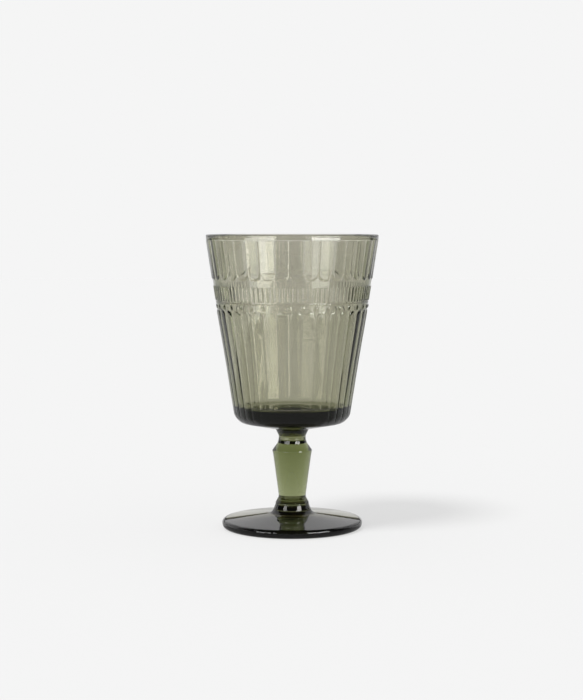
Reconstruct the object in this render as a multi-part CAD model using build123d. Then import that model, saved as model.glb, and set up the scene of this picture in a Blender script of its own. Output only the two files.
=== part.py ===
from build123d import *
from math import atan2, hypot, radians, sqrt, tan
import os

# A pressed glass goblet in three pieces, joined hot, face to face: bowl, stem and foot.
# Millimetres. Z runs up the goblet's axis, and the origin is the centre of the plane it stands on.
# A profile's corner is (radius from the axis, height, radius of its rounding).

# Heights of the three pieces, from the table up to the lip
FOOT_HEIGHT = 9.3
STEM_HEIGHT = 36.0
BOWL_HEIGHT = 104.7

# The two joint faces, and the softened edge that leaves a fine groove round each joint
NECK_RADIUS = 7.0
COLLAR_RADIUS = 9.6
JOINT_EDGE = 0.25

# Foot: a disc with a fat rounded edge, a shallow cone on top and a hollow underneath
FOOT_RADIUS = 35.9
FOOT_EDGE_THICKNESS = 4.2
FOOT_EDGE_LOWER_ROUND = 2.3
FOOT_EDGE_UPPER_ROUND = 1.7
FOOT_COLLAR_FLARE = 1.4
FOOT_CONE_HEIGHT = 7.4
FOOT_CONE_ROUND = 3.0
FOOT_HOLLOW_RADIUS = 27.0
FOOT_HOLLOW_DEPTH = 1.4

# Stem: a knop under the neck, a long taper, and a skirt of two rings on the foot
KNOP_RADIUS = 10.2
KNOP_DROP = 5.4
KNOP_ROUND = 0.9
KNOP_SHOULDER_STEP = 0.6
KNOP_SHOULDER_DROP = 1.9
KNOP_SHOULDER_ROUND = 1.2
TAPER_TOP_RADIUS = 9.75
TAPER_TOP_DROP = 7.6
TAPER_TOP_ROUND = 2.0
WAIST_RADIUS = 7.0
WAIST_HEIGHT = 8.0
WAIST_ROUND = 12.0
SKIRT_HEIGHT = 6.4
SKIRT_TOP_ROUND = 0.3
SKIRT_RING_RADIUS = 8.55
SKIRT_RING_HEIGHT = 3.6
SKIRT_RING_ROUND = 0.5
SKIRT_GROOVE_HEIGHT = 2.8

# Bowl, outside: radii of the smooth wall that the relief stands on
RIM_RADIUS = 43.85
BAND_RADIUS = 38.1
BELLY_RADIUS = 33.2
HEEL_RADIUS = 28.7
BELLY_HEIGHT = 40.6
HEEL_HEIGHT = 9.5
HEEL_ROUND = 5.6
UNDERSIDE_RADIUS = 8.6
UNDERSIDE_HEIGHT = 5.5
UNDERSIDE_ROUND = 0.6
NECK_PINCH = 0.15
NECK_PINCH_HEIGHT = 1.9
NECK_PINCH_ROUND = 2.0
BELLY_BEND = 10.0
BAND_BEND = 2.5

# Bowl, inside
LIP_WALL = 2.6
LIP_ROUND = 1.0
BAND_WALL = 3.0
BELLY_WALL = 2.5
HEEL_WALL = 3.1
FLOOR_HEIGHT = 16.8
FLOOR_ROUND = 2.0

# Relief on the bowl, in zones stacked down from the lip
RIM_BAND = 3.2
RELIEF = 0.42
RIM_PROUD = 0.08
UPPER_REED_LENGTH = 19.4
UPPER_REED_CURVE = 18.0
REED_COUNT = 36
PLAIN_BAND = 3.3
RIB_COUNT = 100
RIB_LENGTH = 7.1
RIB_SHARE = 5 / 6
RIB_CURVE = 2.0
RIB_RELIEF = 0.28
RING_DROP = 1.2
RING_CURVE = 0.5
RING_RELIEF = 0.22
BEAD_DROP = 3.2
BEAD_CURVE = 1.8
BEAD_RELIEF = 0.5
ARCH_DROP = 4.8
LOWER_REED_CURVE = 14.0
LOWER_REED_SAG = 0.3
REED_FOOT_HEIGHT = 12.3

# Values that only serve the construction
ROOT_DEPTH = 0.8
SIDE_OVERLAP = 0.5
END_CLEARANCE = 1.0
LIP_DISH_DEPTH = 7.0
LONGEST_BEND = 0.4

# Heights of the joints and of the zones, on the finished goblet
STEM_BASE_Z = FOOT_HEIGHT
NECK_Z = FOOT_HEIGHT + STEM_HEIGHT
LIP_Z = NECK_Z + BOWL_HEIGHT
BELLY_Z = NECK_Z + BELLY_HEIGHT
HEEL_Z = NECK_Z + HEEL_HEIGHT
FLOOR_Z = NECK_Z + FLOOR_HEIGHT
RIM_BAND_Z = LIP_Z - RIM_BAND
UPPER_REED_END_Z = RIM_BAND_Z - UPPER_REED_LENGTH
RIB_TOP_Z = UPPER_REED_END_Z - PLAIN_BAND
RIB_END_Z = RIB_TOP_Z - RIB_LENGTH
RING_Z = RIB_END_Z - RING_DROP
BEAD_Z = RIB_END_Z - BEAD_DROP
ARCH_Z = RIB_END_Z - ARCH_DROP
REED_FOOT_Z = NECK_Z + REED_FOOT_HEIGHT
SHOULDER_RADIUS = RIM_RADIUS - RIM_PROUD - RELIEF


def turned(corners):
    """Turn a closed profile round the goblet's axis."""
    points = [(radius, height) for radius, height, _ in corners]
    rounds = [rounding for _, _, rounding in corners]
    outline = FilletPolyline(*points, radius=rounds, close=True)
    return revolve(Plane.XZ * make_face(outline), Axis.Z)


def wall_radius(height):
    """Radius of the smooth wall that carries the relief, at a height between belly and rim band."""
    lower = (BELLY_RADIUS, BELLY_Z)
    upper = (BAND_RADIUS, ARCH_Z)
    if height > ARCH_Z:
        lower, upper = upper, (SHOULDER_RADIUS, RIM_BAND_Z)
    if height < BELLY_Z:
        lower, upper = (HEEL_RADIUS, HEEL_Z), lower
    share = (height - lower[1]) / (upper[1] - lower[1])
    return lower[0] + share * (upper[0] - lower[0])


def bent(before, corner, after, length):
    """A corner with the rounding that bends the line over a length on each side of it."""
    first = (corner[0] - before[0], corner[1] - before[1])
    second = (after[0] - corner[0], after[1] - corner[1])
    turn = atan2(first[0] * second[1] - first[1] * second[0], first[0] * second[0] + first[1] * second[1])
    reach = min(length, LONGEST_BEND * min(hypot(*first), hypot(*second)))
    return (*corner, reach / tan(abs(turn) / 2))


def wall_line(heel, belly, band, shoulder):
    """Corners of a wall's gently bent line: belly and band, between the points below and above them."""
    return [bent(heel, belly, band, BELLY_BEND), bent(belly, band, shoulder, BAND_BEND)]


def wall_corners(outset):
    """Corners of the outer wall from heel to rim band, moved out by outset."""
    heel = (HEEL_RADIUS + outset, HEEL_Z)
    belly = (BELLY_RADIUS + outset, BELLY_Z)
    band = (BAND_RADIUS + outset, ARCH_Z)
    shoulder = (SHOULDER_RADIUS + outset, RIM_BAND_Z)
    return [(*heel, HEEL_ROUND), *wall_line(heel, belly, band, shoulder), (*shoulder, 0)]


def bowl_blank():
    """The solid bowl with a smooth wall, a rim band, and the boss that the stem is joined to."""
    inner_lip = RIM_RADIUS - LIP_WALL
    dish_z = LIP_Z - LIP_DISH_DEPTH
    return turned(
        [
            (0, NECK_Z, 0),
            (NECK_RADIUS, NECK_Z, JOINT_EDGE),
            (NECK_RADIUS - NECK_PINCH, NECK_Z + NECK_PINCH_HEIGHT, NECK_PINCH_ROUND),
            (UNDERSIDE_RADIUS, NECK_Z + UNDERSIDE_HEIGHT, UNDERSIDE_ROUND),
        ]
        + wall_corners(0)
        + [
            (RIM_RADIUS, RIM_BAND_Z + RELIEF, RELIEF / 2),
            (RIM_RADIUS, LIP_Z, LIP_ROUND),
            (inner_lip, LIP_Z, LIP_ROUND),
            (inner_lip - LIP_WALL, dish_z, 0),
            (0, dish_z, 0),
        ]
    )


def bowl_cavity():
    """The space for the drink, with a rounded corner at its floor, up past the rim band."""
    floor = (wall_radius(FLOOR_Z) - HEEL_WALL, FLOOR_Z)
    belly = (BELLY_RADIUS - BELLY_WALL, BELLY_Z)
    band = (BAND_RADIUS - BAND_WALL, ARCH_Z)
    inner_lip = (RIM_RADIUS - LIP_WALL, LIP_Z - LIP_ROUND)
    return turned(
        [
            (0, FLOOR_Z, 0),
            (*floor, FLOOR_ROUND),
            *wall_line(floor, belly, band, inner_lip),
            (*inner_lip, 0),
            (inner_lip[0], LIP_Z + END_CLEARANCE, 0),
            (0, LIP_Z + END_CLEARANCE, 0),
        ]
    )


def relief_layer():
    """The shell that a piece of relief is kept to: from just under the wall to clear of it."""
    core = turned([(0, HEEL_Z, 0), *wall_corners(-ROOT_DEPTH), (0, RIM_BAND_Z, 0)])
    over = RIM_BAND_Z + RELIEF / 2
    limit = Cylinder(RIM_RADIUS, over - HEEL_Z, align=(Align.CENTER, Align.CENTER, Align.MIN))
    return Pos(0, 0, HEEL_Z) * limit - core


def sector(half_angle, bottom, top):
    """A wedge about the +X direction, between two heights."""
    reach = 2 * RIM_RADIUS
    spread = reach * tan(radians(half_angle))
    plan = Polyline((0, 0), (reach, -spread), (reach, spread), close=True)
    return Pos(0, 0, bottom) * extrude(make_face(plan), top - bottom)


def capsule(curve, start, end, sag):
    """A long round bar with ball ends; its outermost line runs between two points of the XZ plane."""
    run = Vector(end[0] - start[0], 0, end[1] - start[1])
    length = run.length
    low, high = (curve, 0), (curve, length)
    profile = [
        JernArc((0, -curve), (1, 0), curve, 90),
        RadiusArc(low, high, -(length**2) / (8 * sag)) if sag else Line(low, high),
        JernArc(high, (0, 1), curve, 90),
        Line((0, length + curve), (0, -curve)),
    ]
    bar = revolve(Plane.XZ * make_face(profile), Axis.Z)
    along = run.normalized()
    inward = Vector(-along.Z, 0, along.X)
    origin = Vector(start[0], 0, start[1]) + inward * curve
    return Plane(origin=origin, z_dir=along) * bar


def round_the_bowl(count, piece, first_angle=0.0):
    """Copies of a piece, evenly spaced round the axis."""
    return [Rot(0, 0, first_angle + 360 / count * index) * piece for index in range(count)]


def upper_reed(layer):
    """One convex reed below the rim band, square at the top and domed at its lower end."""
    dome = sqrt(2 * UPPER_REED_CURVE * RELIEF)
    bottom = UPPER_REED_END_Z + dome
    top = RIM_BAND_Z + RELIEF / 2
    start = (wall_radius(bottom) + RELIEF, bottom)
    end = (wall_radius(top) + RELIEF, top)
    bar = capsule(UPPER_REED_CURVE, start, end, 0)
    wedge = sector(180 / REED_COUNT + SIDE_OVERLAP, UPPER_REED_END_Z - dome, top)
    return bar & wedge & layer


def lower_reed(layer):
    """One long convex reed with an arched top, fading out where the heel rounds under."""
    dome = sqrt(2 * LOWER_REED_CURVE * RELIEF)
    bottom = REED_FOOT_Z + dome
    top = ARCH_Z - dome
    start = (wall_radius(bottom) + RELIEF, bottom)
    end = (wall_radius(top) + RELIEF, top)
    bar = capsule(LOWER_REED_CURVE, start, end, LOWER_REED_SAG)
    wedge = sector(180 / REED_COUNT + SIDE_OVERLAP, REED_FOOT_Z - END_CLEARANCE, ARCH_Z + END_CLEARANCE)
    return bar & wedge & layer


def rib(layer):
    """One fine upright rib of the band, cut square at both ends."""
    start = (wall_radius(RIB_END_Z) + RIB_RELIEF, RIB_END_Z)
    end = (wall_radius(RIB_TOP_Z) + RIB_RELIEF, RIB_TOP_Z)
    bar = capsule(RIB_CURVE, start, end, 0)
    return bar & sector(180 / RIB_COUNT * RIB_SHARE, RIB_END_Z, RIB_TOP_Z) & layer


def ring():
    """The thin ring under the ribs."""
    centre = wall_radius(RING_Z) + RING_RELIEF - RING_CURVE
    return Pos(0, 0, RING_Z) * Torus(centre, RING_CURVE)


def bead():
    """One round bead, above the notch between two arches."""
    centre = wall_radius(BEAD_Z) + BEAD_RELIEF - BEAD_CURVE
    return Pos(centre, 0, BEAD_Z) * Sphere(BEAD_CURVE)


def bowl():
    """The bowl with all its relief."""
    layer = relief_layer()
    half_pitch = 180 / REED_COUNT
    relief = [ring()]
    relief += round_the_bowl(REED_COUNT, upper_reed(layer))
    relief += round_the_bowl(REED_COUNT, lower_reed(layer))
    relief += round_the_bowl(RIB_COUNT, rib(layer))
    relief += round_the_bowl(REED_COUNT, bead(), half_pitch)
    return bowl_blank().fuse(*relief) - bowl_cavity()


def stem():
    """The stem: knop, taper, waist and two-ring skirt."""
    base = STEM_BASE_Z
    return turned(
        [
            (0, base, 0),
            (COLLAR_RADIUS, base, JOINT_EDGE),
            (SKIRT_RING_RADIUS, base + SKIRT_GROOVE_HEIGHT, 0),
            (SKIRT_RING_RADIUS, base + SKIRT_RING_HEIGHT, SKIRT_RING_ROUND),
            (WAIST_RADIUS, base + SKIRT_HEIGHT, SKIRT_TOP_ROUND),
            (WAIST_RADIUS, base + WAIST_HEIGHT, WAIST_ROUND),
            (TAPER_TOP_RADIUS, NECK_Z - TAPER_TOP_DROP, TAPER_TOP_ROUND),
            (KNOP_RADIUS, NECK_Z - KNOP_DROP, KNOP_ROUND),
            (NECK_RADIUS + KNOP_SHOULDER_STEP, NECK_Z - KNOP_SHOULDER_DROP, KNOP_SHOULDER_ROUND),
            (NECK_RADIUS, NECK_Z, JOINT_EDGE),
            (0, NECK_Z, 0),
        ]
    )


def foot():
    """The foot: a disc on a flat ring, with a shallow cone that rises to the collar."""
    return turned(
        [
            (0, FOOT_HOLLOW_DEPTH, 0),
            (FOOT_HOLLOW_RADIUS, 0, 0),
            (FOOT_RADIUS, 0, FOOT_EDGE_LOWER_ROUND),
            (FOOT_RADIUS, FOOT_EDGE_THICKNESS, FOOT_EDGE_UPPER_ROUND),
            (COLLAR_RADIUS + FOOT_COLLAR_FLARE, FOOT_CONE_HEIGHT, FOOT_CONE_ROUND),
            (COLLAR_RADIUS, FOOT_HEIGHT, JOINT_EDGE),
            (0, FOOT_HEIGHT, 0),
        ]
    )


os.makedirs("parts", exist_ok=True)
for name, build in (("bowl", bowl), ("stem", stem), ("foot", foot)):
    export_step(build(), f"parts/{name}.step")
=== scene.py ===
import logging
import math
from dataclasses import dataclass
from enum import Enum
from typing import Protocol

import bpy
import numpy as np
from mathutils import Matrix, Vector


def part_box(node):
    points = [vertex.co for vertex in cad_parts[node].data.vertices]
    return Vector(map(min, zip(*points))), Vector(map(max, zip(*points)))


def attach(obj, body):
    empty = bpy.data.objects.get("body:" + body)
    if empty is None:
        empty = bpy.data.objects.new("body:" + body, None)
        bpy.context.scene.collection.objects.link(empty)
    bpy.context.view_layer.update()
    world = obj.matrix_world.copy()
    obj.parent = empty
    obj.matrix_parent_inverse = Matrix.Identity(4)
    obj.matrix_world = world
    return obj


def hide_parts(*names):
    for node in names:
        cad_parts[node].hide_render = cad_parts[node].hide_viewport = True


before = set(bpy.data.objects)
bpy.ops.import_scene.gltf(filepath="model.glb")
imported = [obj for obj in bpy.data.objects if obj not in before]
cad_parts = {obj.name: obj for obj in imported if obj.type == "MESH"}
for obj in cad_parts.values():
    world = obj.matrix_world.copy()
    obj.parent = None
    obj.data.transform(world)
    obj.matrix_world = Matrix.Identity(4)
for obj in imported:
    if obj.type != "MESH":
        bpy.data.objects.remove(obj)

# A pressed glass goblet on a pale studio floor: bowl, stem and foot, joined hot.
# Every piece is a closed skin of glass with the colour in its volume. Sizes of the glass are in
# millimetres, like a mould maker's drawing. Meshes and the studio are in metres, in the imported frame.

MM = 0.001
BODY = "root"
WELD = "weld"
BOWL_SLICES = 4
TURNED_SLICES = 16
SEAM = 0.0005 * MM
CAMERA_AZIMUTH = math.radians(-93.0)
Point = tuple[float, float]
log = logging.getLogger("goblet")


@dataclass(frozen=True)
class HotJoint:
    """Where two pieces are joined hot: its radius, its softened edge, and the film between the skins."""

    radius: float
    edge: float = 0.25
    film: float = 0.004


NECK = HotJoint(7.0)
COLLAR = HotJoint(9.6)


@dataclass(frozen=True)
class Corner:
    """A corner of a turned outline: radius from the axis, height, and radius of its rounding."""

    radius: float
    height: float
    rounding: float = 0.0

    def toward(self, other: "Corner") -> tuple[float, float, float]:
        """Unit direction to another corner, and the distance to it."""
        run = (other.radius - self.radius, other.height - self.height)
        length = math.hypot(*run)
        return run[0] / length, run[1] / length, length


def turn_at(before: Corner, corner: Corner, after: Corner) -> float:
    """Measure how an outline turns at a corner.

    Args:
        before: The corner before it.
        corner: The corner itself.
        after: The corner after it.

    Returns:
        The angle, in radians, positive where the outline turns to the left.
    """
    ax, az, _ = before.toward(corner)
    bx, bz, _ = corner.toward(after)
    return math.atan2(ax * bz - az * bx, ax * bx + az * bz)


def bent(before: Corner, corner: Corner, after: Corner, length: float) -> Corner:
    """Give a corner the rounding that bends the line over a length on each side of it.

    Args:
        before: The corner before it.
        corner: The corner to round.
        after: The corner after it.
        length: How far from the corner the bend reaches.

    Returns:
        The same corner with its rounding.
    """
    half_turn = abs(turn_at(before, corner, after)) / 2
    return Corner(corner.radius, corner.height, length / math.tan(half_turn))


@dataclass(frozen=True)
class Sampling:
    """How finely an outline is cut: the turn from row to row, the longest run, and the holding rows."""

    arc_step: float = math.radians(9.0)
    longest: float = 4.0
    hold: float = 0.12

    def straight(self, start: Point, end: Point) -> list[Point]:
        """Points inside a straight run, with a holding row close to each of its ends.

        Args:
            start: The run's first point.
            end: The run's last point.

        Returns:
            The points between them, the ends left out.
        """
        length = math.dist(start, end)
        if length < 4 * self.hold:
            return []
        inner = length - 2 * self.hold
        pieces = max(1, math.ceil(inner / self.longest))
        places = [self.hold + inner * step / pieces for step in range(pieces + 1)]
        return [tuple(a + (b - a) * place / length for a, b in zip(start, end)) for place in places]

    def outline(self, corners: list[Corner]) -> list[Point]:
        """Points along straight runs joined by tangent arcs.

        Args:
            corners: The outline's corners, in order.

        Returns:
            (radius, height) points from the first corner to the last.
        """
        points = [(corners[0].radius, corners[0].height)]
        for before, corner, after in zip(corners, corners[1:], corners[2:]):
            arc = self.arc(before, corner, after)
            points += self.straight(points[-1], arc[0]) + arc
        last = (corners[-1].radius, corners[-1].height)
        return points + self.straight(points[-1], last) + [last]

    def arc(self, before: Corner, corner: Corner, after: Corner) -> list[Point]:
        """Points along the rounding of one corner.

        Args:
            before: The corner before it.
            corner: The corner itself.
            after: The corner after it.

        Returns:
            The arc's points with both its ends, or the corner alone where it is sharp.
        """
        if not corner.rounding:
            return [(corner.radius, corner.height)]
        turn = turn_at(before, corner, after)
        ax, az, _ = before.toward(corner)
        reach = corner.rounding * math.tan(abs(turn) / 2)
        side = math.copysign(1.0, turn)
        centre = (
            corner.radius - ax * reach - az * corner.rounding * side,
            corner.height - az * reach + ax * corner.rounding * side,
        )
        steps = max(2, math.ceil(abs(turn) / self.arc_step))
        start = math.atan2(-ax * side, az * side)
        return [
            (
                centre[0] + corner.rounding * math.cos(start + turn * step / steps),
                centre[1] + corner.rounding * math.sin(start + turn * step / steps),
            )
            for step in range(steps + 1)
        ]


class Gore:
    """A slice of a turned piece between two half planes, built row by row along its outline."""

    def __init__(self, angle: float, columns: int, first: float = 0.0) -> None:
        """Start an empty slice.

        Args:
            angle: The slice's angle, in radians.
            columns: Number of columns in its finest rows.
            first: Azimuth of its first edge, in radians.
        """
        self.azimuths = first + angle * np.arange(columns + 1) / columns
        self.points: list[tuple[float, float, float]] = []
        self.faces: list[list[int]] = []
        self.welds: list[int] = []
        self.last: list[int] = []

    def row(self, radius: float | np.ndarray, height: float, every: int = 1, weld: bool = False) -> None:
        """Add a row of points and the faces that join it to the row before.

        Args:
            radius: The row's radius, or one radius for each of its points, in millimetres.
            height: The row's height, in millimetres.
            every: Take every so many of the finest columns.
            weld: Whether the new faces lie in a joint.
        """
        azimuths = self.azimuths[::every]
        radii = np.broadcast_to(radius, azimuths.shape)
        first = len(self.points)
        if np.ndim(radius) == 0 and radius == 0:
            self.points.append((0.0, 0.0, height * MM))
            new = [first]
        else:
            xs, ys = radii * np.cos(azimuths) * MM, radii * np.sin(azimuths) * MM
            self.points += [(float(x), float(y), height * MM) for x, y in zip(xs, ys)]
            new = list(range(first, len(self.points)))
        if self.last:
            self.join(self.last, new, weld)
        self.last = new

    def join(self, old: list[int], new: list[int], weld: bool) -> None:
        """Add the faces between two rows, which may have different numbers of points.

        Args:
            old: The lower row's points.
            new: The upper row's points.
            weld: Whether the faces lie in a joint.
        """
        cells = max(1, min(len(old), len(new)) - 1)
        if min(len(old), len(new)) == 1:
            cells = max(len(old), len(new)) - 1
        for cell in range(cells):
            below = self.stretch(old, cell, cells)
            above = self.stretch(new, cell, cells)
            self.faces.append(below + above[::-1])
            self.welds.append(int(weld))

    @staticmethod
    def stretch(row: list[int], cell: int, cells: int) -> list[int]:
        """Find the points of a row that border one cell.

        Args:
            row: The row's points, or the one point of a pole.
            cell: The cell's number along the row.
            cells: How many cells the row borders.

        Returns:
            The points, in the row's order.
        """
        if len(row) == 1:
            return row
        width = (len(row) - 1) // cells
        return row[cell * width : (cell + 1) * width + 1]

    def mesh(self, name: str) -> bpy.types.Mesh:
        """Make the slice's mesh.

        Args:
            name: The mesh's name.

        Returns:
            A mesh with a face attribute that is 1 in the joints.
        """
        made = bpy.data.meshes.new(name)
        made.from_pydata(self.points, [], self.faces)
        made.attributes.new(WELD, "FLOAT", "FACE").data.foreach_set("value", self.welds)
        return made


class RoundTree:
    """Geometry nodes that repeat a slice round the axis and close it into one skin."""

    def __init__(self) -> None:
        """Build the tree, with named inputs."""
        self.tree = bpy.data.node_groups.new("repeat_round_axis", "GeometryNodeTree")
        inputs = (
            ("Slice", "NodeSocketGeometry"),
            ("Count", "NodeSocketInt"),
            ("Seam", "NodeSocketFloat"),
            ("Glass", "NodeSocketMaterial"),
        )
        make = self.tree.interface.new_socket
        self.sockets = {name: make(name=name, in_out="INPUT", socket_type=kind) for name, kind in inputs}
        make(name="Piece", in_out="OUTPUT", socket_type="NodeSocketGeometry")
        self.wire()

    def node(self, kind: str, **settings: object) -> bpy.types.Node:
        """Add a node.

        Args:
            kind: The node's type.
            settings: Its attributes.

        Returns:
            The node.
        """
        made = self.tree.nodes.new(kind)
        for name, value in settings.items():
            setattr(made, name, value)
        return made

    def wire(self) -> None:
        """Points on the axis, a turned copy of the slice on each, then one closed mesh."""
        link = self.tree.links.new
        given = self.node("NodeGroupInput")
        points = self.node("GeometryNodePoints")
        index = self.node("GeometryNodeInputIndex")
        share = self.node("ShaderNodeMath", operation="DIVIDE")
        angle = self.node("ShaderNodeMath", operation="MULTIPLY")
        angle.inputs[1].default_value = math.tau
        turn = self.node("FunctionNodeAxisAngleToRotation")
        turn.inputs["Axis"].default_value = (0.0, 0.0, 1.0)
        copies = self.node("GeometryNodeInstanceOnPoints")
        real = self.node("GeometryNodeRealizeInstances")
        merge = self.node("GeometryNodeMergeByDistance")
        smooth = self.node("GeometryNodeSetShadeSmooth")
        paint = self.node("GeometryNodeSetMaterial")
        out = self.node("NodeGroupOutput")
        link(given.outputs["Count"], points.inputs["Count"])
        link(index.outputs["Index"], share.inputs[0])
        link(given.outputs["Count"], share.inputs[1])
        link(share.outputs[0], angle.inputs[0])
        link(angle.outputs[0], turn.inputs["Angle"])
        link(points.outputs[0], copies.inputs["Points"])
        link(given.outputs["Slice"], copies.inputs["Instance"])
        link(turn.outputs["Rotation"], copies.inputs["Rotation"])
        link(copies.outputs["Instances"], real.inputs["Geometry"])
        link(real.outputs["Geometry"], merge.inputs["Geometry"])
        link(given.outputs["Seam"], merge.inputs["Distance"])
        link(merge.outputs["Geometry"], smooth.inputs["Geometry"])
        link(smooth.outputs["Geometry"], paint.inputs["Geometry"])
        link(given.outputs["Glass"], paint.inputs["Material"])
        link(paint.outputs["Geometry"], out.inputs["Piece"])

    def grow(self, name: str, gore: Gore, count: int, glass: bpy.types.Material) -> bpy.types.Object:
        """Repeat a slice into a whole piece with a plain mesh.

        Args:
            name: The piece's name.
            gore: Its slice.
            count: How many slices go round.
            glass: Its material.

        Returns:
            The finished object, at the origin.
        """
        mould = bpy.data.objects.new(name + "_slice", gore.mesh(name + "_slice"))
        bpy.context.scene.collection.objects.link(mould)
        modifier = mould.modifiers.new("round", "NODES")
        modifier.node_group = self.tree
        values = {"Count": count, "Seam": SEAM, "Glass": glass}
        for key, value in values.items():
            modifier[self.sockets[key].identifier] = value
        graph = bpy.context.evaluated_depsgraph_get()
        mesh = bpy.data.meshes.new_from_object(mould.evaluated_get(graph), depsgraph=graph)
        mould.modifiers.remove(modifier)
        bpy.data.objects.remove(mould)
        mesh.name = name
        piece = bpy.data.objects.new(name, mesh)
        bpy.context.scene.collection.objects.link(piece)
        return piece


@dataclass(frozen=True)
class Glass:
    """A smoky glass: colour taken up along the way through it, and a fire-polished pressed skin.

    The uptake is per metre, and the skin tints what passes it. The waviness and the wave's size are
    millimetres. The haze comes in patches, where the smudge noise lies between its two limits.
    """

    name: str
    uptake: tuple[float, float, float]
    skin: tuple[float, float, float] = (1.0, 1.0, 1.0)
    density: float = 260.0
    ior: float = 1.52
    waviness: float = 0.012
    wave_size: float = 9.0
    wave_detail: float = 1.0
    haze: float = 0.012
    smudge_size: float = 27.0
    smudge_detail: float = 3.0
    smudge_limits: tuple[float, float] = (0.35, 0.75)

    def material(self) -> bpy.types.Material:
        """Build the node material.

        Returns:
            A material whose volume swallows light and whose skin has the mould's slow waviness.
        """
        made = bpy.data.materials.new(self.name)
        made.use_nodes = True
        nodes, link = made.node_tree.nodes, made.node_tree.links.new
        nodes.clear()
        skin = nodes.new("ShaderNodeBsdfPrincipled")
        skin.inputs["Base Color"].default_value = (*self.skin, 1.0)
        skin.inputs["Transmission Weight"].default_value = 1.0
        skin.inputs["IOR"].default_value = self.ior
        body = nodes.new("ShaderNodeVolumeAbsorption")
        body.inputs["Color"].default_value = (*(1.0 - u / self.density for u in self.uptake), 1.0)
        body.inputs["Density"].default_value = self.density
        out = nodes.new("ShaderNodeOutputMaterial")
        place = nodes.new("ShaderNodeTexCoord")
        wave = self.noise(nodes, self.wave_size, self.wave_detail)
        bump = nodes.new("ShaderNodeBump")
        bump.inputs["Strength"].default_value = 1.0
        bump.inputs["Distance"].default_value = self.waviness * MM
        smudge = self.noise(nodes, self.smudge_size, self.smudge_detail)
        rough = nodes.new("ShaderNodeMapRange")
        low, high = self.smudge_limits
        rough.inputs["From Min"].default_value = low
        rough.inputs["From Max"].default_value = high
        rough.inputs["To Min"].default_value = 0.0
        rough.inputs["To Max"].default_value = self.haze
        weld = nodes.new("ShaderNodeAttribute")
        weld.attribute_name = WELD
        bend = nodes.new("ShaderNodeMapRange")
        bend.inputs["To Min"].default_value = self.ior
        bend.inputs["To Max"].default_value = 1.0
        link(place.outputs["Object"], wave.inputs["Vector"])
        link(place.outputs["Object"], smudge.inputs["Vector"])
        link(wave.outputs["Fac"], bump.inputs["Height"])
        link(smudge.outputs["Fac"], rough.inputs["Value"])
        link(rough.outputs["Result"], skin.inputs["Roughness"])
        link(bump.outputs["Normal"], skin.inputs["Normal"])
        link(weld.outputs["Fac"], bend.inputs["Value"])
        link(bend.outputs["Result"], skin.inputs["IOR"])
        link(skin.outputs["BSDF"], out.inputs["Surface"])
        link(body.outputs["Volume"], out.inputs["Volume"])
        return made

    @staticmethod
    def noise(nodes: bpy.types.Nodes, size: float, detail: float) -> bpy.types.Node:
        """Add a noise texture.

        Args:
            nodes: The material's nodes.
            size: Size of its grain, in millimetres.
            detail: Number of finer layers.

        Returns:
            The node.
        """
        made = nodes.new("ShaderNodeTexNoise")
        made.inputs["Scale"].default_value = 1.0 / (size * MM)
        made.inputs["Detail"].default_value = detail
        return made


class Relief(Protocol):
    """Anything that is raised on the bowl's wall."""

    def height(self, wall: float, level: float, azimuths: np.ndarray) -> np.ndarray:
        """Height above the smooth wall, along one row.

        Args:
            wall: The wall's radius at this level.
            level: The row's height.
            azimuths: The row's azimuths, in radians.

        Returns:
            One height for each azimuth, 0 where the wall is bare.
        """


class End(Enum):
    """How a reed ends."""

    ROUND = "round"
    SQUARE = "square"
    FADED = "faded"


@dataclass(frozen=True)
class Reeds:
    """A ring of upright convex reeds with a narrow groove between them.

    The crest stands relief above the wall, and sag more at half height. Within edge of a groove the
    face drops into it, a ball rounds an end over its last stretch, and a faded end runs out over fade.
    """

    count: int
    curve: float
    relief: float
    bottom: float
    top: float
    sag: float = 0.0
    edge: float = 0.8
    ball: float = 1.6
    fade: float = 3.0
    groove: float = 0.11
    lower_end: End = End.ROUND
    upper_end: End = End.ROUND

    def height(self, wall: float, level: float, azimuths: np.ndarray) -> np.ndarray:
        """Height of the reeds above the smooth wall, along one row.

        Args:
            wall: The wall's radius at this level.
            level: The row's height.
            azimuths: The row's azimuths, in radians.

        Returns:
            One height for each azimuth, 0 where the wall is bare.
        """
        if level < self.bottom or level > self.top:
            return np.zeros_like(azimuths)
        pitch = math.tau / self.count
        across = np.abs((azimuths + pitch / 2) % pitch - pitch / 2) * wall
        width = wall * pitch / 2
        beyond = 0.0
        if self.lower_end is End.ROUND:
            beyond = max(beyond, self.bottom + width - level)
        if self.upper_end is End.ROUND:
            beyond = max(beyond, level - self.top + width)
        share = np.clip((width - np.hypot(across, beyond)) / self.edge, 0.0, 1.0)
        run = (level - self.bottom) / (self.top - self.bottom)
        crest = self.relief + self.sag * 4 * run * (1 - run)
        if self.lower_end is End.FADED:
            crest *= min(1.0, (level - self.bottom) / self.fade)
        dip = max(0.0, beyond - width + self.ball)
        drop = across**2 * (1 / self.curve - 1 / wall) / 2 + dip**2 / (2 * self.curve)
        ridge = np.maximum(crest - drop, 0.0)
        rounded = np.clip(2 * beyond / width, 0.0, 1.0)
        cut = np.minimum(self.groove, ridge)
        return ridge - (cut + (ridge - cut) * rounded) * (1 - share) ** 2


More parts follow.
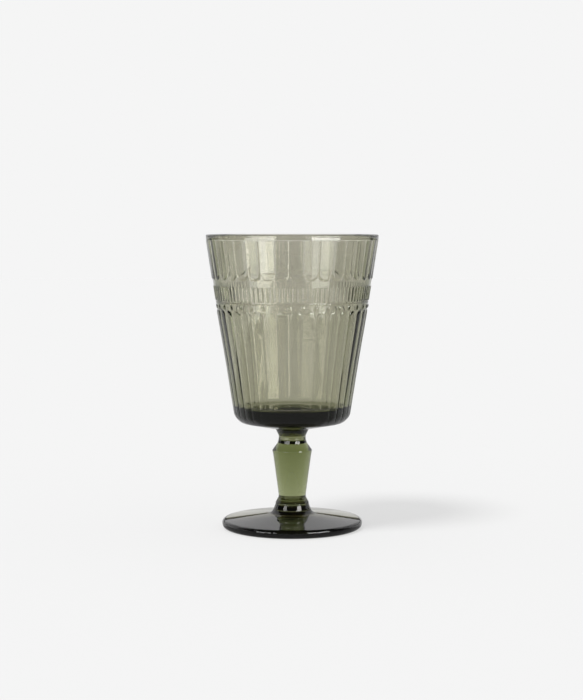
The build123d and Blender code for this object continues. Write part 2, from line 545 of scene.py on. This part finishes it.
@dataclass(frozen=True)
class Ribs:
    """A band of fine upright ribs, cut square at both ends."""

    bottom: float
    top: float
    count: int = 100
    curve: float = 2.0
    relief: float = 0.28

    def height(self, wall: float, level: float, azimuths: np.ndarray) -> np.ndarray:
        """Height of the ribs above the smooth wall, along one row.

        Args:
            wall: The wall's radius at this level.
            level: The row's height.
            azimuths: The row's azimuths, in radians.

        Returns:
            One height for each azimuth, 0 where the wall is bare.
        """
        if level < self.bottom or level > self.top:
            return np.zeros_like(azimuths)
        pitch = math.tau / self.count
        across = ((azimuths + pitch / 2) % pitch - pitch / 2) * wall
        drop = across**2 * (1 / self.curve - 1 / wall) / 2
        return np.maximum(self.relief - drop, 0.0)


@dataclass(frozen=True)
class Ring:
    """A thin round ring."""

    level: float
    curve: float = 0.5
    relief: float = 0.22

    def height(self, wall: float, level: float, azimuths: np.ndarray) -> np.ndarray:
        """Height of the ring above the smooth wall, along one row.

        Args:
            wall: The wall's radius at this level.
            level: The row's height.
            azimuths: The row's azimuths, in radians.

        Returns:
            One height for each azimuth, 0 where the wall is bare.
        """
        reach = self.curve**2 - (level - self.level) ** 2
        rise = self.relief - self.curve + math.sqrt(reach) if reach > 0 else 0.0
        return np.full_like(azimuths, max(rise, 0.0))


@dataclass(frozen=True)
class Beads:
    """A row of round beads, one above each notch between two arches."""

    level: float
    count: int = 36
    curve: float = 1.8
    relief: float = 0.5

    def height(self, wall: float, level: float, azimuths: np.ndarray) -> np.ndarray:
        """Height of the beads above the smooth wall, along one row.

        Args:
            wall: The wall's radius at this level.
            level: The row's height.
            azimuths: The row's azimuths, in radians.

        Returns:
            One height for each azimuth, 0 where the wall is bare.
        """
        pitch = math.tau / self.count
        across = (azimuths % pitch - pitch / 2) * wall
        reach = self.curve**2 - across**2 - (level - self.level) ** 2
        rise = self.relief - self.curve + np.sqrt(np.maximum(reach, 0.0))
        return np.maximum(rise, 0.0)


@dataclass(frozen=True)
class Rows:
    """How closely the bowl's rows lie along its relief, and how far the close ones reach."""

    faded: float = 0.5
    faded_reach: float = 5.2
    arched: float = 0.35
    arched_reach: float = 4.4
    arched_clear: float = 0.2
    reed_start: float = 0.05
    reed_clear: float = 0.5
    bead: float = 0.28
    ring: float = 0.14
    ring_reach: float = 0.42
    ring_clear: float = 0.55
    above_ring: float = 0.5
    cut: float = 0.03
    cut_below: float = 0.12
    cut_clear: float = 0.15
    rib: float = 3.0
    plain: float = 1.5
    long: float = 6.0
    rim: float = 0.12

    @staticmethod
    def between(low: float, high: float, step: float) -> list[float]:
        """Evenly spaced heights about a step apart, both ends with them."""
        pieces = max(1, round((high - low) / step))
        return [low + (high - low) * piece / pieces for piece in range(pieces + 1)]


@dataclass
class Bowl:
    """The pressed bowl, with its relief, its lip and the boss under its floor.

    Heights are above the neck, and drops are below the lip.
    """

    glass: Glass
    neck_pinch: float = 0.15
    neck_pinch_height: float = 1.9
    neck_pinch_round: float = 2.0
    underside_radius: float = 8.6
    underside_height: float = 5.5
    underside_round: float = 0.6
    heel_radius: float = 28.7
    heel_height: float = 9.5
    heel_round: float = 5.6
    belly_radius: float = 33.2
    belly_height: float = 40.6
    belly_bend: float = 10.0
    band_radius: float = 38.1
    band_drop: float = 37.8
    band_bend: float = 2.5
    rim_radius: float = 43.85
    rim_band: float = 3.2
    rim_proud: float = 0.08
    relief: float = 0.42
    reed_count: int = 36
    upper_curve: float = 18.0
    upper_drop: float = 22.6
    lower_curve: float = 14.0
    lower_sag: float = 0.3
    lower_height: float = 10.4
    relief_lead: float = 0.2
    ribs_top_drop: float = 25.9
    ribs_bottom_drop: float = 33.0
    ring_drop: float = 34.2
    beads_drop: float = 36.2
    lip_wall: float = 2.6
    lip_round: float = 1.0
    band_wall: float = 3.0
    belly_wall: float = 2.5
    floor_radius: float = 26.66
    floor_height: float = 16.8
    floor_round: float = 2.0
    quarter_columns: int = 225
    plain_every: int = 5
    rows: Rows = Rows()

    def __post_init__(self) -> None:
        """Take the two ends from the frame and stack the relief down from the lip."""
        low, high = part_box("bowl")
        self.neck_z, self.lip_z = low.z / MM, high.z / MM
        self.rim_z = self.lip_z - self.rim_band
        self.band_z = self.lip_z - self.band_drop
        self.upper = Reeds(
            self.reed_count,
            self.upper_curve,
            self.relief,
            bottom=self.lip_z - self.upper_drop,
            top=self.rim_z + self.relief / 2,
            upper_end=End.SQUARE,
        )
        self.ribs = Ribs(self.lip_z - self.ribs_bottom_drop, self.lip_z - self.ribs_top_drop)
        self.ring = Ring(self.lip_z - self.ring_drop)
        self.beads = Beads(self.lip_z - self.beads_drop)
        self.lower = Reeds(
            self.reed_count,
            self.lower_curve,
            self.relief,
            bottom=self.neck_z + self.lower_height,
            top=self.band_z,
            sag=self.lower_sag,
            lower_end=End.FADED,
        )
        self.features: list[Relief] = [self.upper, self.ribs, self.ring, self.beads, self.lower]

    def corners(self) -> list[Corner]:
        """Corners of the outline, from the axis at the neck over the lip to the axis at the floor.

        Returns:
            The corners, in order.
        """
        neck = self.neck_z
        heel = Corner(self.heel_radius, neck + self.heel_height, self.heel_round)
        belly = Corner(self.belly_radius, neck + self.belly_height)
        band = Corner(self.band_radius, self.band_z)
        shoulder = Corner(self.rim_radius - self.rim_proud - self.relief, self.rim_z)
        joint_z = neck + NECK.film
        return [
            Corner(0, joint_z),
            Corner(NECK.radius, joint_z, NECK.edge),
            Corner(NECK.radius - self.neck_pinch, neck + self.neck_pinch_height, self.neck_pinch_round),
            Corner(self.underside_radius, neck + self.underside_height, self.underside_round),
            heel,
            bent(heel, belly, band, self.belly_bend),
            bent(belly, band, shoulder, self.band_bend),
            shoulder,
            Corner(self.rim_radius, self.rim_z + self.relief, self.relief / 2),
            Corner(self.rim_radius, self.lip_z, self.lip_round),
            Corner(self.rim_radius - self.lip_wall, self.lip_z, self.lip_round),
            *self.inner_corners(),
        ]

    def inner_corners(self) -> list[Corner]:
        """Corners of the inside, from below the lip down to the axis at the floor.

        Returns:
            The corners, in order.
        """
        lip = Corner(self.rim_radius - self.lip_wall, self.lip_z - self.lip_round)
        band = Corner(self.band_radius - self.band_wall, self.band_z)
        belly = Corner(self.belly_radius - self.belly_wall, self.neck_z + self.belly_height)
        floor = Corner(self.floor_radius, self.neck_z + self.floor_height, self.floor_round)
        return [
            lip,
            bent(lip, band, belly, self.band_bend),
            bent(band, belly, floor, self.belly_bend),
            floor,
            Corner(0, floor.height),
        ]

    def levels(self) -> list[float]:
        """Heights of the rows that carry relief, close together wherever the relief turns.

        Returns:
            The heights, from the lowest up.
        """
        rows, ribs, ring = self.rows, self.ribs, self.ring
        start = self.lower.bottom - self.relief_lead
        faded = start + rows.faded_reach
        arched = self.band_z - rows.arched_reach
        ends = self.upper.bottom + rows.arched_reach
        spans = (
            (start, faded, rows.faded),
            (faded, arched, rows.long),
            (arched, self.band_z + rows.arched_clear, rows.arched),
            (self.band_z + 2 * rows.arched_clear, ring.level - ring.curve, rows.bead),
            (ring.level - rows.ring_reach, ring.level + rows.ring_reach, rows.ring),
            (ring.level + rows.ring_clear, ribs.bottom - rows.cut_below, rows.above_ring),
            (ribs.bottom - rows.cut, ribs.bottom + rows.cut, 2 * rows.cut),
            (ribs.bottom + rows.cut_clear, ribs.top - rows.cut_clear, rows.rib),
            (ribs.top - rows.cut, ribs.top + rows.cut, 2 * rows.cut),
            (ribs.top + rows.cut_clear, self.upper.bottom - rows.arched_clear, rows.plain),
            (self.upper.bottom - rows.reed_start, ends, rows.arched),
            (ends + rows.reed_clear, self.rim_z - rows.cut_clear, rows.long),
            (self.rim_z, self.rim_z + self.relief + rows.arched_clear, rows.rim),
        )
        found = {round(level, 4) for span in spans for level in rows.between(*span)}
        return sorted(found)

    def gore(self) -> Gore:
        """Build a quarter of the bowl, which is the shortest stretch that the relief repeats over.

        Returns:
            The slice.
        """
        quarter = math.tau / BOWL_SLICES
        gore = Gore(quarter, self.quarter_columns, quarter / self.quarter_columns / 2)
        outline = Sampling().outline(self.corners())
        top = max(range(len(outline)), key=lambda index: outline[index][1])
        wall = outline[:top]
        radii, heights = [r for r, _ in wall], [z for _, z in wall]
        levels = self.levels()
        for radius, height in wall:
            if height < levels[0]:
                in_joint = height == wall[0][1] and radius < NECK.radius
                gore.row(radius, height, self.plain_every, weld=in_joint)
        for level in levels:
            base = float(np.interp(level, heights, radii))
            smooth = base
            if level > self.rim_z:
                slope = (self.rim_radius - self.band_radius) / (self.rim_z - self.band_z)
                smooth = self.rim_radius - self.rim_proud - self.relief + (level - self.rim_z) * slope
            rise = sum(feature.height(smooth, level, gore.azimuths) for feature in self.features)
            gore.row(np.maximum(base, smooth + rise), level)
        above = [point for point in wall if point[1] > levels[-1]]
        for radius, height in above + outline[top:]:
            gore.row(radius, height, self.plain_every)
        return gore

    def build(self, tree: RoundTree) -> bpy.types.Object:
        """Build the bowl and put it in the frame."""
        return dressed(tree.grow("pressed_bowl", self.gore(), BOWL_SLICES, self.glass.material()), "bowl")


@dataclass
class Stem:
    """The stem: knop, taper, waist and two-ring skirt.

    Heights are above the collar, and drops are below the neck.
    """

    glass: Glass
    knop_radius: float = 10.2
    knop_drop: float = 5.4
    knop_round: float = 0.9
    knop_shoulder_step: float = 0.6
    knop_shoulder_drop: float = 1.9
    knop_shoulder_round: float = 1.2
    taper_top_radius: float = 9.75
    taper_top_drop: float = 7.6
    taper_top_round: float = 2.0
    waist_radius: float = 7.0
    waist_height: float = 8.0
    waist_round: float = 12.0
    skirt_height: float = 6.4
    skirt_top_round: float = 0.3
    skirt_ring_radius: float = 8.55
    skirt_ring_height: float = 3.6
    skirt_ring_round: float = 0.5
    skirt_groove_height: float = 2.8
    columns: int = 256

    def corners(self) -> list[Corner]:
        """Corners of the outline, from the axis at the collar up to the axis at the neck.

        Returns:
            The corners, in order.
        """
        low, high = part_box("stem")
        base, neck = low.z / MM, high.z / MM
        return [
            Corner(0, base + COLLAR.film),
            Corner(COLLAR.radius, base + COLLAR.film, COLLAR.edge),
            Corner(self.skirt_ring_radius, base + self.skirt_groove_height),
            Corner(self.skirt_ring_radius, base + self.skirt_ring_height, self.skirt_ring_round),
            Corner(self.waist_radius, base + self.skirt_height, self.skirt_top_round),
            Corner(self.waist_radius, base + self.waist_height, self.waist_round),
            Corner(self.taper_top_radius, neck - self.taper_top_drop, self.taper_top_round),
            Corner(self.knop_radius, neck - self.knop_drop, self.knop_round),
            Corner(
                NECK.radius + self.knop_shoulder_step,
                neck - self.knop_shoulder_drop,
                self.knop_shoulder_round,
            ),
            Corner(NECK.radius, neck - NECK.film, NECK.edge),
            Corner(0, neck - NECK.film),
        ]

    def build(self, tree: RoundTree) -> bpy.types.Object:
        """Build the stem and put it in the frame."""
        gore = turned_gore(self.corners(), self.columns, welded_low=True)
        return dressed(tree.grow("baluster_stem", gore, TURNED_SLICES, self.glass.material()), "stem")


@dataclass
class Foot:
    """The foot: a disc with a fat rounded edge, a shallow cone on top and a hollow underneath."""

    glass: Glass
    collar_flare: float = 1.4
    cone_height: float = 7.4
    cone_round: float = 3.0
    edge_thickness: float = 4.2
    edge_upper_round: float = 1.7
    edge_lower_round: float = 2.3
    hollow_radius: float = 27.0
    hollow_depth: float = 1.4
    columns: int = 256

    def corners(self) -> list[Corner]:
        """Corners of the outline, from the axis at the hollow up to the axis at the collar.

        Returns:
            The corners, in order.
        """
        low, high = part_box("foot")
        base, collar, rim = low.z / MM, high.z / MM - COLLAR.film, high.x / MM
        return [
            Corner(0, base + self.hollow_depth),
            Corner(self.hollow_radius, base),
            Corner(rim, base, self.edge_lower_round),
            Corner(rim, base + self.edge_thickness, self.edge_upper_round),
            Corner(COLLAR.radius + self.collar_flare, base + self.cone_height, self.cone_round),
            Corner(COLLAR.radius, collar, COLLAR.edge),
            Corner(0, collar),
        ]

    def build(self, tree: RoundTree) -> bpy.types.Object:
        """Build the foot and put it in the frame."""
        gore = turned_gore(self.corners(), self.columns, welded_low=False)
        return dressed(tree.grow("disc_foot", gore, TURNED_SLICES, self.glass.material()), "foot")


def turned_gore(corners: list[Corner], columns: int, welded_low: bool) -> Gore:
    """Build a slice of a smooth turned piece, whose flat top is a joint.

    Args:
        corners: Its outline, from the lower point on the axis to the upper one.
        columns: Number of columns all the way round.
        welded_low: Whether the flat bottom is a joint too.

    Returns:
        The slice.
    """
    outline = Sampling(arc_step=math.radians(6.0), longest=1.5).outline(corners)
    gore = Gore(math.tau / TURNED_SLICES, columns // TURNED_SLICES)
    low, high = outline[0][1], outline[-1][1]
    before = None
    for radius, height in outline:
        flat = height == before
        gore.row(radius, height, weld=flat and (height == high or welded_low and height == low))
        before = height
    return gore


def dressed(piece: bpy.types.Object, node: str) -> bpy.types.Object:
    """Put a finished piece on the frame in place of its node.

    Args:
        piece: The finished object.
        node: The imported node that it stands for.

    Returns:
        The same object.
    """
    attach(piece, BODY)
    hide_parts(node)
    log.info("%s stands for %s: %d faces", piece.name, node, len(piece.data.polygons))
    return piece


class Shader:
    """A node shader for the studio, which has one look for light that the glass has reflected."""

    def __init__(self, tree: bpy.types.NodeTree) -> None:
        """Take a material's or a world's tree, and empty it."""
        self.nodes, self.link = tree.nodes, tree.links.new
        self.nodes.clear()

    def glow(self, kind: str, tone: float) -> bpy.types.NodeSocket:
        """Make an even neutral tone.

        Args:
            kind: The emission or background node to make.
            tone: Its brightness.

        Returns:
            The node's output.
        """
        made = self.nodes.new(kind)
        made.inputs["Color"].default_value = (1.0, 1.0, 1.0, 1.0)
        made.inputs["Strength"].default_value = tone
        return made.outputs[0]

    def finish(self, kind: str, direct: bpy.types.NodeSocket, reflected: bpy.types.NodeSocket) -> None:
        """End the tree in a choice between two looks.

        Args:
            kind: The output node to make.
            direct: The look that is seen directly, and straight through the glass.
            reflected: The look that is seen in the glass's reflections.
        """
        path = self.nodes.new("ShaderNodeLightPath")
        turned = self.nodes.new("ShaderNodeMath")
        turned.operation = "GREATER_THAN"
        turned.inputs[1].default_value = 0.5
        mix = self.nodes.new("ShaderNodeMixShader")
        out = self.nodes.new(kind)
        self.link(path.outputs["Glossy Depth"], turned.inputs[0])
        self.link(turned.outputs[0], mix.inputs["Fac"])
        self.link(direct, mix.inputs[1])
        self.link(reflected, mix.inputs[2])
        self.link(mix.outputs[0], out.inputs["Surface"])


@dataclass(frozen=True)
class Card:
    """An upright curved card round the glass, seen only in reflections: a window or a backdrop.

    Its middle and its spread are azimuths in degrees, the middle to the right of the camera's line.
    """

    name: str
    tone: float
    middle: float
    spread: float
    low: float
    high: float
    distance: float = 1.2
    facets: int = 24

    def build(self) -> bpy.types.Object:
        """Bend the card round the axis and give it its glow.

        Returns:
            The card.
        """
        columns = [self.middle + self.spread * (step / self.facets - 0.5) for step in range(self.facets + 1)]
        turns = [math.radians(column) + CAMERA_AZIMUTH for column in columns]
        points = [
            (self.distance * math.cos(turn), self.distance * math.sin(turn), level)
            for level in (self.low, self.high)
            for turn in turns
        ]
        row = len(turns)
        faces = [(i, i + 1, row + i + 1, row + i) for i in range(self.facets)]
        material = bpy.data.materials.new(self.name)
        material.use_nodes = True
        shader = Shader(material.node_tree)
        clear = shader.nodes.new("ShaderNodeBsdfTransparent").outputs[0]
        shader.finish("ShaderNodeOutputMaterial", clear, shader.glow("ShaderNodeEmission", self.tone))
        mesh = bpy.data.meshes.new(self.name)
        mesh.from_pydata(points, [], faces)
        mesh.materials.append(material)
        made = bpy.data.objects.new(self.name, mesh)
        made.visible_camera = False
        made.visible_diffuse = False
        made.visible_shadow = False
        bpy.context.scene.collection.objects.link(made)
        return made


@dataclass
class Studio:
    """The pale floor, the soft light, the cards and the camera.

    White is the even tone of all that is seen directly. Room, table and sweep are the tones of the
    world, of the floor's front half and of its back half in the glass's reflections. The key gives its
    share of the floor's white. Lengths are metres and angles are degrees.
    """

    white: float = 0.913
    room: float = 0.06
    table: float = 0.35
    sweep: float = 0.6
    floor_gap: float = 0.00003
    floor_radius: float = 4.0
    floor_sides: int = 96
    floor_albedo: float = 0.22
    key_share: float = 0.165
    key_azimuth: float = -50.0
    key_elevation: float = 62.0
    key_softness: float = 16.0
    camera_distance: float = 0.8423
    camera_height: float = 0.15466
    camera_pitch: float = 4.314
    camera_lens: float = 85.11
    camera_sensor: float = 36.0
    camera_shift: float = -0.001
    cards: tuple[Card, ...] = (
        Card("window_left", 4.4, middle=-43.0, spread=40.0, low=0.2, high=0.68),
        Card("window_right", 9.3, middle=45.0, spread=40.0, low=0.2, high=0.68),
        Card("patch_side", 1.0, middle=-95.0, spread=64.0, low=0.0, high=0.07, distance=0.33),
        Card("patch_left", 2.7, middle=-47.0, spread=30.0, low=0.0, high=0.07, distance=0.33),
        Card("patch_right", 2.4, middle=40.0, spread=26.0, low=0.0, high=0.07, distance=0.33),
        Card("backdrop", 0.8, middle=180.0, spread=150.0, low=0.25, high=1.6),
        Card("backdrop_foot", 0.8, middle=180.0, spread=150.0, low=0.0, high=0.19),
    )

    def build(self) -> None:
        """Build the world, the floor, the lights and the camera."""
        scene = bpy.context.scene
        scene.view_settings.view_transform = "Standard"
        self.world(scene)
        self.floor()
        self.key()
        for card in self.cards:
            card.build()
        self.camera(scene)

    def world(self, scene: bpy.types.Scene) -> None:
        """Surround the glass with one even pale tone, and with a dim room in its reflections.

        Args:
            scene: The scene that gets the world.
        """
        world = bpy.data.worlds.new("studio")
        world.use_nodes = True
        shader = Shader(world.node_tree)
        pale = shader.glow("ShaderNodeBackground", self.white)
        shader.finish("ShaderNodeOutputWorld", pale, shader.glow("ShaderNodeBackground", self.room))
        scene.world = world

    def key(self) -> None:
        """Light the floor evenly from high on the left, for one soft shadow on the right."""
        data = bpy.data.lights.new("key", "SUN")
        elevation = math.radians(self.key_elevation)
        data.energy = self.key_share * math.pi / self.floor_albedo / math.sin(elevation)
        data.angle = math.radians(self.key_softness)
        made = bpy.data.objects.new("key", data)
        turn = Matrix.Rotation(math.radians(self.key_azimuth) + CAMERA_AZIMUTH, 4, "Z")
        tip = Matrix.Rotation(math.pi / 2 - elevation, 4, "Y")
        made.rotation_euler = (turn @ tip).to_euler()
        made.visible_glossy = False
        made.visible_transmission = False
        bpy.context.scene.collection.objects.link(made)

    def paper(self, name: str, seen: float) -> bpy.types.Material:
        """Make pale lit paper.

        Args:
            name: The material's name.
            seen: Its tone in the glass's reflections.

        Returns:
            A material whose tone in the open is the backdrop's.
        """
        made = bpy.data.materials.new(name)
        made.use_nodes = True
        shader = Shader(made.node_tree)
        paper = shader.nodes.new("ShaderNodeBsdfDiffuse")
        grey = self.floor_albedo
        paper.inputs["Color"].default_value = (grey, grey, grey, 1.0)
        rest = self.white * (1 - self.floor_albedo) - self.key_share
        both = shader.nodes.new("ShaderNodeAddShader")
        shader.link(paper.outputs["BSDF"], both.inputs[0])
        shader.link(shader.glow("ShaderNodeEmission", rest), both.inputs[1])
        shown = shader.glow("ShaderNodeEmission", seen)
        shader.finish("ShaderNodeOutputMaterial", both.outputs[0], shown)
        return made

    def floor(self) -> None:
        """Lay a pale disc: a table in front of the glass, and the backdrop's sweep behind it."""
        count, reach = self.floor_sides, self.floor_radius
        front = CAMERA_AZIMUTH - math.pi / 2
        around = [front + math.tau * index / count for index in range(count)]
        ring = [(reach * math.cos(turn), reach * math.sin(turn), -self.floor_gap) for turn in around]
        mesh = bpy.data.meshes.new("studio_floor")
        half = count // 2
        mesh.from_pydata(ring, [], [tuple(range(half + 1)), (*range(half, count), 0)])
        mesh.materials.append(self.paper("studio_table", self.table))
        mesh.materials.append(self.paper("studio_sweep", self.sweep))
        mesh.polygons[1].material_index = 1
        disc = bpy.data.objects.new("studio_floor", mesh)
        bpy.context.scene.collection.objects.link(disc)

    def camera(self, scene: bpy.types.Scene) -> None:
        """Place the camera in front of the glass, a little above the lip and tipped down.

        Args:
            scene: The scene that looks through it.
        """
        data = bpy.data.cameras.new("camera")
        data.lens = self.camera_lens
        data.sensor_width = self.camera_sensor
        data.shift_x = self.camera_shift
        made = bpy.data.objects.new("camera", data)
        made.location = (
            self.camera_distance * math.cos(CAMERA_AZIMUTH),
            self.camera_distance * math.sin(CAMERA_AZIMUTH),
            self.camera_height,
        )
        turn = Matrix.Rotation(CAMERA_AZIMUTH + math.pi / 2, 4, "Z")
        tip = Matrix.Rotation(math.radians(90 - self.camera_pitch), 4, "X")
        made.rotation_euler = (turn @ tip).to_euler()
        scene.collection.objects.link(made)
        scene.camera = made


def main() -> None:
    """Build the goblet and its studio."""
    logging.basicConfig(level=logging.INFO, format="%(name)s: %(message)s")
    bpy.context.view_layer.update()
    tree = RoundTree()
    bowl_glass = Glass("bowl_glass_smoke", uptake=(120.0, 112.0, 180.0), skin=(0.915, 0.88, 0.95))
    stem_glass = Glass("stem_glass_green", uptake=(98.0, 90.0, 144.0))
    foot_glass = Glass("foot_glass_smoke", uptake=(120.0, 124.0, 162.0))
    Bowl(bowl_glass).build(tree)
    Stem(stem_glass).build(tree)
    Foot(foot_glass).build(tree)
    Studio().build()


if __name__ == "__main__":
    main()
